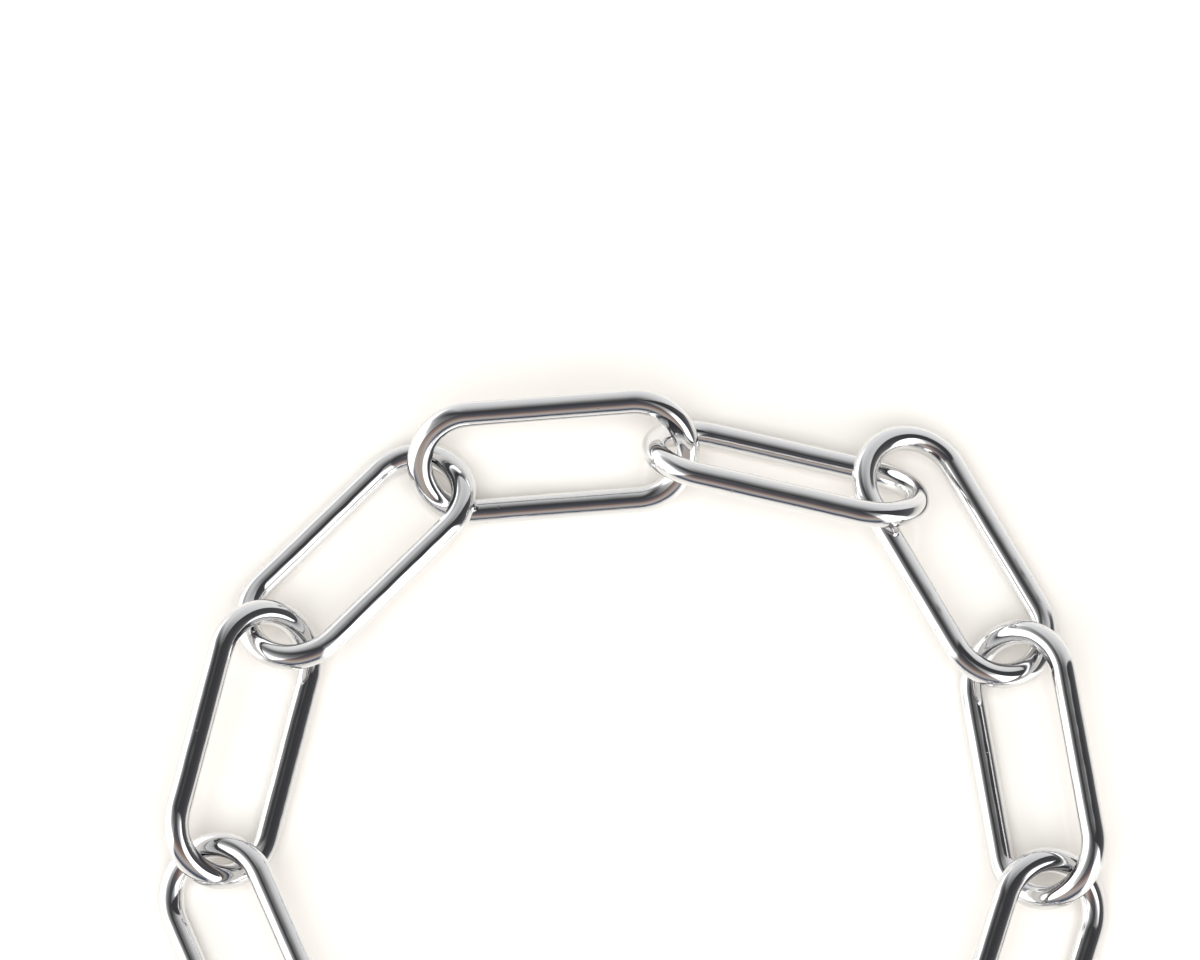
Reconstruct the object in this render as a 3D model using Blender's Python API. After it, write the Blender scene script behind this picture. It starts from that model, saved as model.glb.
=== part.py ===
"""Long-link chain laid in a closed ring on a table.

Eleven equal links of round wire, each bent to a long oval with half-round ends
and closed on itself. Every link is threaded through the next one. They lie
tilted by turns: one has its outer side up on its neighbours, the next has its
inner side up.

Metres, +Z up. The origin is the middle of the box that the ring fills, at the
level of the table top. +Y is the far side of the ring.
"""
import math

import bpy
from mathutils import Euler, Vector

MM = 0.001
WIRE = 1.7 * MM            # diameter of the wire
LINK_LENGTH = 19.8 * MM    # over the ends
LINK_WIDTH = 8.8 * MM      # over the sides
SIDES = 16                 # facets round the wire
BEND_STEPS = 12            # steps round each half-round end

STEEL_COLOUR = (0.80, 0.80, 0.81, 1.0)
STEEL_ROUGHNESS = 0.08

# How each link lies, in millimetres and degrees, clockwise round the ring from
# its near left. The middle of the link is at x, y. Heading is the direction of
# its length, anticlockwise from +X. Roll lifts the side that faces out of the
# ring, pitch lifts the end that leads clockwise, and lift is the height of the
# link's lowest point above the table, where its neighbours carry it.
#          x      y     heading  roll  pitch  lift
PLACES = (
    (-25.6, -11.1, 114, -26, -3, 0.1),
    (-26.2, 4.2, 76, 35, 2, 0.3),
    (-18.9, 17.2, 46, -22, -5, 0.2),
    (-5.6, 23.9, 4, 35, 2, 0.3),
    (10.0, 22.5, -14, -53, 3, 0.5),
    (21.4, 17.1, -60, -22, -2, 0.7),
    (26.4, 2.9, -81, 33, 2, 0.0),
    (25.6, -12.4, -108, -30, -2, 0.0),
    (15.7, -22.4, -157, 32, 1, 0.2),
    (0.1, -25.2, -182, -28, 0, 0.0),
    (-15.1, -21.5, -204, 32, 4, 0.2),
)


def bend_line():
    """The wire's centre line: (point, outward direction) all round one link, along X."""
    radius = (LINK_WIDTH - WIRE) / 2
    half_leg = (LINK_LENGTH - LINK_WIDTH) / 2
    line = []
    for end in (1, -1):
        for step in range(BEND_STEPS + 1):
            turn = math.pi * (step / BEND_STEPS - 0.5)
            out = Vector((math.cos(turn), math.sin(turn), 0.0)) * end
            line.append((Vector((half_leg * end, 0.0, 0.0)) + out * radius, out))
    return line


def link_mesh():
    """One closed link: a ring of wire facets carried round the centre line."""
    line = bend_line()
    vertices = []
    for point, out in line:
        for side in range(SIDES):
            angle = 2 * math.pi * (side + 0.5) / SIDES
            rim = out * math.cos(angle) + Vector((0.0, 0.0, math.sin(angle)))
            vertices.append(point + rim * (WIRE / 2))
    faces = []
    for ring in range(len(line)):
        here = ring * SIDES
        ahead = ((ring + 1) % len(line)) * SIDES
        for side in range(SIDES):
            beside = (side + 1) % SIDES
            faces.append((here + side, ahead + side, ahead + beside, here + beside))
    mesh = bpy.data.meshes.new("link")
    mesh.from_pydata(vertices, [], faces)
    mesh.shade_smooth()
    mesh.set_sharp_from_angle(angle=math.radians(40))
    return mesh


def polished_steel():
    """Bright drawn wire, polished."""
    material = bpy.data.materials.new("polished_steel")
    material.use_nodes = True
    shader = material.node_tree.nodes["Principled BSDF"]
    shader.inputs["Base Color"].default_value = STEEL_COLOUR
    shader.inputs["Metallic"].default_value = 1.0
    shader.inputs["Roughness"].default_value = STEEL_ROUGHNESS
    return material


def lay_links(mesh):
    """One object for each link, turned as it lies and let down to its height."""
    links = []
    for number, (x, y, heading, roll, pitch, lift) in enumerate(PLACES, start=1):
        link = bpy.data.objects.new(f"link_{number:02d}", mesh)
        bpy.context.scene.collection.objects.link(link)
        turn = Euler((math.radians(roll), math.radians(-pitch), math.radians(heading)))
        spin = turn.to_matrix()
        lowest = min((spin @ vertex.co).z for vertex in mesh.vertices)
        link.rotation_euler = turn
        link.location = (x * MM, y * MM, lift * MM - lowest)
        links.append(link)
    return links


def centre_ring(links):
    """Moves the ring so that the middle of its box is over the origin."""
    corners = [
        link.location + link.rotation_euler.to_matrix() @ vertex.co
        for link in links
        for vertex in link.data.vertices
    ]
    middle_x = (min(c.x for c in corners) + max(c.x for c in corners)) / 2
    middle_y = (min(c.y for c in corners) + max(c.y for c in corners)) / 2
    for link in links:
        link.location.x -= middle_x
        link.location.y -= middle_y


def main():
    for old in list(bpy.data.objects):
        bpy.data.objects.remove(old, do_unlink=True)
    mesh = link_mesh()
    mesh.materials.append(polished_steel())
    centre_ring(lay_links(mesh))
    bpy.context.view_layer.update()


main()
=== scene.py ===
"""The looks of a closed ring of long oval links in bright steel wire, on a white table.

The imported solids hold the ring's shape and place. Each is stood for by a smooth
link, swept along the same line in the same place, because the wire is polished
like a mirror and shows every facet. Metres, +Z up, +Y towards the far side.

In the room, azimuth runs clockwise from +Y, and zenith angle is measured from
straight up, both in degrees.
"""
import math

import bpy
from mathutils import Euler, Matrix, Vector


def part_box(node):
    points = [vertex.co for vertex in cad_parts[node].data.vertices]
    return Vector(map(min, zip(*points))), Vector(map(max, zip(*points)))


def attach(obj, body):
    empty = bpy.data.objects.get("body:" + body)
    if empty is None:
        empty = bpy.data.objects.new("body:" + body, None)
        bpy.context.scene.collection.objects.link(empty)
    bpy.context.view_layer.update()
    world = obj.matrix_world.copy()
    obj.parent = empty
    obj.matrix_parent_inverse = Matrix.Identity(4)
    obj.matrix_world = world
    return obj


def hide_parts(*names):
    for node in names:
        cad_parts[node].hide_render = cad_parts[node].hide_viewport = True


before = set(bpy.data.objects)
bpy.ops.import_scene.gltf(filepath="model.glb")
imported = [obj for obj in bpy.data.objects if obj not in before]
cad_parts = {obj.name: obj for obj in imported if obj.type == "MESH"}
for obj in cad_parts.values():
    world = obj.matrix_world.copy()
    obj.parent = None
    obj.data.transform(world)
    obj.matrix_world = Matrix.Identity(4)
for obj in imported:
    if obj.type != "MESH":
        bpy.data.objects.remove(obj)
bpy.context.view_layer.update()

MM = 0.001
WIRE = 1.7 * MM            # diameter of the wire
LINK_LENGTH = 19.8 * MM    # over the ends
LINK_WIDTH = 8.8 * MM      # over the sides
SIDES = 56                 # facets round the wire
BEND_STEPS = 64            # steps round each half-round end
LEG_STEPS = 24             # steps along each straight side

# How each link is turned, in degrees, as in the CAD source: heading, roll and pitch.
TURNS = (
    (114, -26, -3),
    (76, 35, 2),
    (46, -22, -5),
    (4, 35, 2),
    (-14, -53, 3),
    (-60, -22, -2),
    (-81, 33, 2),
    (-108, -30, -2),
    (-157, 32, 1),
    (-182, -28, 0),
    (-204, 32, 4),
)

MARKS_APART = 70.0         # millimetres of noise between one link's marks and the next one's
WAVE_DEPTH = 0.045 * MM    # soft waves left by the polishing
MARK_DEPTH = 0.002 * MM    # drawing marks along the wire
PIT_DEPTH = 0.01 * MM      # small pits

TABLE_HALF = 3.0           # half of the table's side

# The room's radiance by zenith angle, where the white table is about 1.
FAR_WALL = (
    (0, (0.055, 0.055, 0.06)),
    (12, (0.12, 0.12, 0.12)),
    (20, (0.24, 0.24, 0.24)),
    (30, (0.42, 0.42, 0.42)),
    (40, (0.60, 0.60, 0.605)),
    (50, (0.72, 0.72, 0.725)),
    (62, (0.82, 0.82, 0.825)),
    (76, (0.92, 0.92, 0.925)),
    (90, (0.98, 0.98, 0.985)),
)
DARK_WALL = (
    (0, (0.055, 0.055, 0.06)),
    (20, (0.055, 0.055, 0.06)),
    (45, (0.06, 0.06, 0.065)),
    (62, (0.075, 0.075, 0.08)),
    (78, (0.11, 0.11, 0.115)),
    (90, (0.15, 0.15, 0.155)),
)
NEAR_WALL = (
    (0, (0.055, 0.055, 0.06)),
    (18, (0.075, 0.08, 0.095)),
    (28, (0.115, 0.115, 0.13)),
    (37, (0.19, 0.14, 0.135)),
    (46, (0.34, 0.255, 0.225)),
    (55, (0.50, 0.43, 0.39)),
    (65, (0.54, 0.48, 0.44)),
    (74, (0.28, 0.29, 0.33)),
    (82, (0.08, 0.10, 0.145)),
    (90, (0.065, 0.085, 0.125)),
)
# The two lit windows' radiance, by zenith angle less that of their upper edge.
LIT_WINDOW = (
    (-45, (0.06, 0.06, 0.065)),
    (-38, (0.11, 0.11, 0.11)),
    (-29, (0.18, 0.18, 0.18)),
    (-20, (0.32, 0.32, 0.32)),
    (-12, (0.55, 0.55, 0.555)),
    (-8, (0.74, 0.74, 0.745)),
    (-4, (1.35, 1.35, 1.35)),
    (0, (2.40, 2.40, 2.40)),
)
BRIGHTEST = 2.4            # highest radiance in these tables

# The zenith angle of the windows' upper edge, by azimuth: the left window, then the near right one.
WINDOW_EDGE = (
    (-128, 50),
    (-105, 54),
    (-84, 57),
    (-71, 64),
    (-61, 75),
    (-43, 80),
    (96, 48),
    (108, 43),
    (142, 42),
)
# The wall that is met at each azimuth, at a zenith angle of 45 degrees. Between two
# rows the one wall passes evenly into the other.
WALLS = (
    (-180, "near"),
    (-140, "near"),
    (-128, "lit"),
    (-55, "lit"),
    (-27, "far"),
    (52, "far"),
    (55, "dark"),
    (101, "dark"),
    (107, "lit"),
    (142, "lit"),
    (154, "near"),
    (180, "near"),
)
# How far clockwise the azimuths of WINDOW_EDGE and WALLS move with each degree of zenith
# angle past 45.
LEAN = 0.15
# The walls are blended by a colour. Its red, green and blue are the shares of three walls,
# and what they leave is the dark one's.
WALL_CODES = {
    "dark": (0.0, 0.0, 0.0),
    "far": (1.0, 0.0, 0.0),
    "lit": (0.0, 1.0, 0.0),
    "near": (0.0, 0.0, 1.0),
}

# The soft light above the near side.
KEY_AZIMUTH = 190
KEY_ZENITH = 21
KEY_DISTANCE = 1.0
KEY_WIDTH = 50             # degrees, as seen from the ring
KEY_GLOW = 4.1             # watts for each square metre of the light, divided by pi
KEY_COLOUR = (0.96, 1.0, 1.06)

# The camera stands on the near side and looks down at the target, which is on the table.
CAMERA_TARGET = Vector((-2.139, 23.789, 0.0)) * MM
CAMERA_TILT = 13.5         # degrees from straight down
CAMERA_DISTANCE = 0.408
CAMERA_LENS = 180.0        # millimetres
CAMERA_SENSOR = 36.0       # millimetres


def centre_line():
    """(point, outward direction, distance along the wire from the link's middle), along X."""
    radius = (LINK_WIDTH - WIRE) / 2
    half_leg = (LINK_LENGTH - LINK_WIDTH) / 2
    line = []
    for end in (1, -1):
        for step in range(BEND_STEPS + 1):
            turn = math.pi * (step / BEND_STEPS - 0.5)
            out = Vector((math.cos(turn), math.sin(turn), 0.0)) * end
            along = half_leg + radius * (math.pi / 2 - abs(turn))
            line.append((Vector((half_leg * end, 0.0, 0.0)) + out * radius, out, along * end))
        side = Vector((0.0, end, 0.0))
        for step in range(1, LEG_STEPS):
            along = half_leg * end * (1 - 2 * step / LEG_STEPS)
            line.append((Vector((along, 0.0, 0.0)) + side * radius, side, along))
    return line


def link_mesh(name, shift):
    """One smooth link: a ring of wire facets carried round the centre line.

    The attribute wire_place keeps where each point is on the wire, in millimetres:
    along it, then across its section. The drawing marks follow it round the bends.
    The shift is added along the wire, so that no two links have the same marks.
    """
    line = centre_line()
    vertices, places = [], []
    for point, out, along in line:
        for side in range(SIDES):
            angle = 2 * math.pi * side / SIDES
            across, up = math.cos(angle) * WIRE / 2, math.sin(angle) * WIRE / 2
            vertices.append(point + out * across + Vector((0.0, 0.0, up)))
            places.extend((along / MM + shift, across / MM, up / MM))
    faces = []
    for ring in range(len(line)):
        here = ring * SIDES
        ahead = ((ring + 1) % len(line)) * SIDES
        for side in range(SIDES):
            beside = (side + 1) % SIDES
            faces.append((here + side, ahead + side, ahead + beside, here + beside))
    mesh = bpy.data.meshes.new(name)
    mesh.from_pydata(vertices, [], faces)
    mesh.attributes.new("wire_place", "FLOAT_VECTOR", "POINT").data.foreach_set("vector", places)
    mesh.shade_smooth()
    return mesh


def new_object(name, data):
    """An object of the scene that holds the data."""
    item = bpy.data.objects.new(name, data)
    bpy.context.scene.collection.objects.link(item)
    return item


def add_node(tree, kind, **inputs):
    """A shader node with some of its inputs set by name."""
    node = tree.nodes.new(kind)
    for name, value in inputs.items():
        node.inputs[name].default_value = value
    return node


def add_math(tree, operation, *values):
    """The result of one step of arithmetic on numbers and on outputs of other nodes."""
    node = tree.nodes.new("ShaderNodeMath")
    node.operation = operation
    for socket, value in zip(node.inputs, values):
        if isinstance(value, bpy.types.NodeSocket):
            tree.links.new(value, socket)
        else:
            socket.default_value = value
    return node.outputs["Value"]


def add_ramp(tree, place, stops):
    """The colour at a place on a colour ramp, made from (place, colour) pairs."""
    node = tree.nodes.new("ShaderNodeValToRGB")
    elements = node.color_ramp.elements
    while len(elements) < len(stops):
        elements.new(0.5)
    for element, (position, colour) in zip(elements, stops):
        element.position = position
        element.color = (*colour, 1.0)
    tree.links.new(place, node.inputs["Fac"])
    return node.outputs["Color"]


def add_mix(tree, share, first, second):
    """A colour between first and second, both read from nodes."""
    node = tree.nodes.new("ShaderNodeMixRGB")
    for socket, source in zip(("Fac", "Color1", "Color2"), (share, first, second)):
        tree.links.new(source, node.inputs[socket])
    return node.outputs["Color"]


def add_bump(tree, height, depth, under=None):
    """A bump of the given depth in metres, on top of another normal."""
    node = add_node(tree, "ShaderNodeBump", Strength=1.0, Distance=depth)
    tree.links.new(height, node.inputs["Height"])
    if under is not None:
        tree.links.new(under, node.inputs["Normal"])
    return node.outputs["Normal"]


def grey(value):
    return (value, value, value)


def polished_steel():
    """Drawn wire, polished to a mirror: fine marks along it, soft waves and a few small pits, with
    painted shade in the pits.
    """
    material = bpy.data.materials.new("polished_steel_wire")
    material.use_nodes = True
    tree = material.node_tree
    shader = tree.nodes["Principled BSDF"]
    shader.inputs["Metallic"].default_value = 1.0

    place = tree.nodes.new("ShaderNodeAttribute")
    place.attribute_name = "wire_place"
    stretch = add_node(tree, "ShaderNodeMapping", Scale=(0.15, 8.0, 8.0))
    tree.links.new(place.outputs["Vector"], stretch.inputs["Vector"])
    marks = add_node(tree, "ShaderNodeTexNoise", Scale=1.0, Detail=3.0, Roughness=0.6)
    tree.links.new(stretch.outputs["Vector"], marks.inputs["Vector"])
    mark = marks.outputs["Fac"]

    where = tree.nodes.new("ShaderNodeTexCoord")
    waves = add_node(tree, "ShaderNodeTexNoise", Scale=420.0, Detail=1.0, Roughness=0.4)
    tree.links.new(where.outputs["Object"], waves.inputs["Vector"])
    pits = add_node(tree, "ShaderNodeTexVoronoi", Scale=700.0, Randomness=1.0)
    tree.links.new(where.outputs["Object"], pits.inputs["Vector"])
    pit = add_ramp(tree, pits.outputs["Distance"], ((0.03, grey(0.0)), (0.055, grey(1.0))))

    tint = add_ramp(tree, mark, ((0.30, (0.715, 0.72, 0.73)), (0.70, (0.765, 0.765, 0.765))))
    # Painted shade: the pits get a darker colour than the bare metal around them.
    pit_shade = add_ramp(tree, mark, ((0.30, grey(0.48)), (0.70, grey(0.56))))
    tree.links.new(add_mix(tree, pit, pit_shade, tint), shader.inputs["Base Color"])
    gloss = add_ramp(tree, mark, ((0.30, grey(0.03)), (0.70, grey(0.075))))
    tree.links.new(gloss, shader.inputs["Roughness"])

    normal = add_bump(tree, waves.outputs["Fac"], WAVE_DEPTH)
    normal = add_bump(tree, mark, MARK_DEPTH, normal)
    normal = add_bump(tree, pit, PIT_DEPTH, normal)
    tree.links.new(normal, shader.inputs["Normal"])
    return material


def lay_links(steel):
    """One smooth link for each packed one, in its place."""
    for number, (heading, roll, pitch) in enumerate(TURNS, start=1):
        node = f"link_{number:02d}"
        mesh = link_mesh(f"wire_{node}", MARKS_APART * number)
        mesh.materials.append(steel)
        low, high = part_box(node)
        turn = Euler((math.radians(roll), math.radians(-pitch), math.radians(heading)))
        pose = turn.to_matrix().to_4x4()
        pose.translation = (low + high) / 2
        mesh.transform(pose)
        link = new_object(f"wire_{node}", mesh)
        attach(link, "root")
        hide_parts(node)


def white_table():
    """Smooth warm white board with a faint mottle and a thin gloss."""
    material = bpy.data.materials.new("white_table")
    material.use_nodes = True
    tree = material.node_tree
    shader = tree.nodes["Principled BSDF"]
    where = tree.nodes.new("ShaderNodeTexCoord")
    noise = add_node(tree, "ShaderNodeTexNoise", Scale=90.0, Detail=3.0, Roughness=0.5)
    tree.links.new(where.outputs["Object"], noise.inputs["Vector"])
    mottle = noise.outputs["Fac"]
    tone = add_ramp(tree, mottle, ((0.3, (0.925, 0.875, 0.80)), (0.7, (0.935, 0.885, 0.81))))
    tree.links.new(tone, shader.inputs["Base Color"])
    matt = add_ramp(tree, mottle, ((0.3, grey(0.60)), (0.7, grey(0.66))))
    tree.links.new(matt, shader.inputs["Roughness"])
    shader.inputs["Coat Weight"].default_value = 1.0
    shader.inputs["Coat Roughness"].default_value = 0.06
    return material


def floor():
    """The table top, level with the bottom of the ring."""
    corners = [(TABLE_HALF * x, TABLE_HALF * y, 0) for x, y in ((-1, -1), (1, -1), (1, 1), (-1, 1))]
    mesh = bpy.data.meshes.new("table_top")
    mesh.from_pydata(corners, [], [(0, 1, 2, 3)])
    mesh.materials.append(white_table())
    table = new_object("table_top", mesh)


def room_light():
    """A soft room: pale far wall, lit windows at the left and near right, dark elsewhere."""
    world = bpy.data.worlds.new("studio")
    bpy.context.scene.world = world
    world.use_nodes = True
    tree = world.node_tree
    where = tree.nodes.new("ShaderNodeTexCoord")
    split = tree.nodes.new("ShaderNodeSeparateXYZ")
    tree.links.new(where.outputs["Generated"], split.inputs[0])

    # The zenith angle as a share of 90 degrees, and the azimuth less the lean, which is
    # 0 at -180 degrees and 1 at 180.
    zenith = add_math(tree, "MULTIPLY", add_math(tree, "ARCCOSINE", split.outputs["Z"]), 2 / math.pi)
    bearing = add_math(tree, "ARCTAN2", split.outputs["X"], split.outputs["Y"])
    lean = add_math(tree, "MULTIPLY_ADD", zenith, -LEAN / 4, 0.5 + LEAN / 8)
    azimuth = add_math(tree, "MULTIPLY_ADD", bearing, 1 / (2 * math.pi), lean)

    def by_azimuth(rows):
        return add_ramp(tree, azimuth, [((degrees + 180) / 360, tone) for degrees, tone in rows])

    def by_zenith(place, rows, first):
        """The tone of a radiance table, where place is 0 at the angle first and 1 at 90 degrees more."""
        stops = [((degrees - first) / 90, [part / BRIGHTEST for part in tone]) for degrees, tone in rows]
        return add_ramp(tree, place, stops)

    edge = by_azimuth([(degrees, grey(height / 90)) for degrees, height in WINDOW_EDGE])
    past_edge = add_math(tree, "ADD", add_math(tree, "SUBTRACT", zenith, edge), 0.5)
    far = by_zenith(zenith, FAR_WALL, 0)
    lit = by_zenith(past_edge, LIT_WINDOW, -45)
    near = by_zenith(zenith, NEAR_WALL, 0)
    tone = by_zenith(zenith, DARK_WALL, 0)
    shares = tree.nodes.new("ShaderNodeSeparateColor")
    codes = by_azimuth([(degrees, WALL_CODES[wall]) for degrees, wall in WALLS])
    tree.links.new(codes, shares.inputs["Color"])
    for part, wall in (("Red", far), ("Green", lit), ("Blue", near)):
        tone = add_mix(tree, shares.outputs[part], tone, wall)
    background = tree.nodes["Background"]
    tree.links.new(tone, background.inputs["Color"])
    background.inputs["Strength"].default_value = BRIGHTEST


def aim(item, target):
    item.rotation_euler = (Vector(target) - item.location).to_track_quat("-Z", "Y").to_euler()


def key_light():
    """A square soft light that faces the ring. It lights the table, and the wire doesn't mirror it."""
    light = bpy.data.lights.new("key_light", "AREA")
    light.shape = "SQUARE"
    light.size = 2 * KEY_DISTANCE * math.tan(math.radians(KEY_WIDTH / 2))
    light.energy = KEY_GLOW * math.pi * light.size ** 2
    light.color = KEY_COLOUR
    lamp = new_object("key_light", light)
    turn, fall = math.radians(KEY_AZIMUTH), math.radians(KEY_ZENITH)
    outwards = Vector((math.sin(turn), math.cos(turn), 0.0)) * math.sin(fall)
    lamp.location = (outwards + Vector((0.0, 0.0, math.cos(fall)))) * KEY_DISTANCE
    aim(lamp, (0.0, 0.0, 0.0))
    lamp.visible_camera = False
    lamp.visible_glossy = False


def camera():
    data = bpy.data.cameras.new("camera")
    data.sensor_width = CAMERA_SENSOR
    data.lens = CAMERA_LENS
    data.clip_start, data.clip_end = 0.01, 10.0
    eye = new_object("camera", data)
    tilt = math.radians(CAMERA_TILT)
    eye.location = CAMERA_TARGET + Vector((0.0, -math.sin(tilt), math.cos(tilt))) * CAMERA_DISTANCE
    aim(eye, CAMERA_TARGET)
    bpy.context.scene.camera = eye


lay_links(polished_steel())
floor()
room_light()
key_light()
camera()
bpy.context.scene.view_settings.view_transform = "Standard"
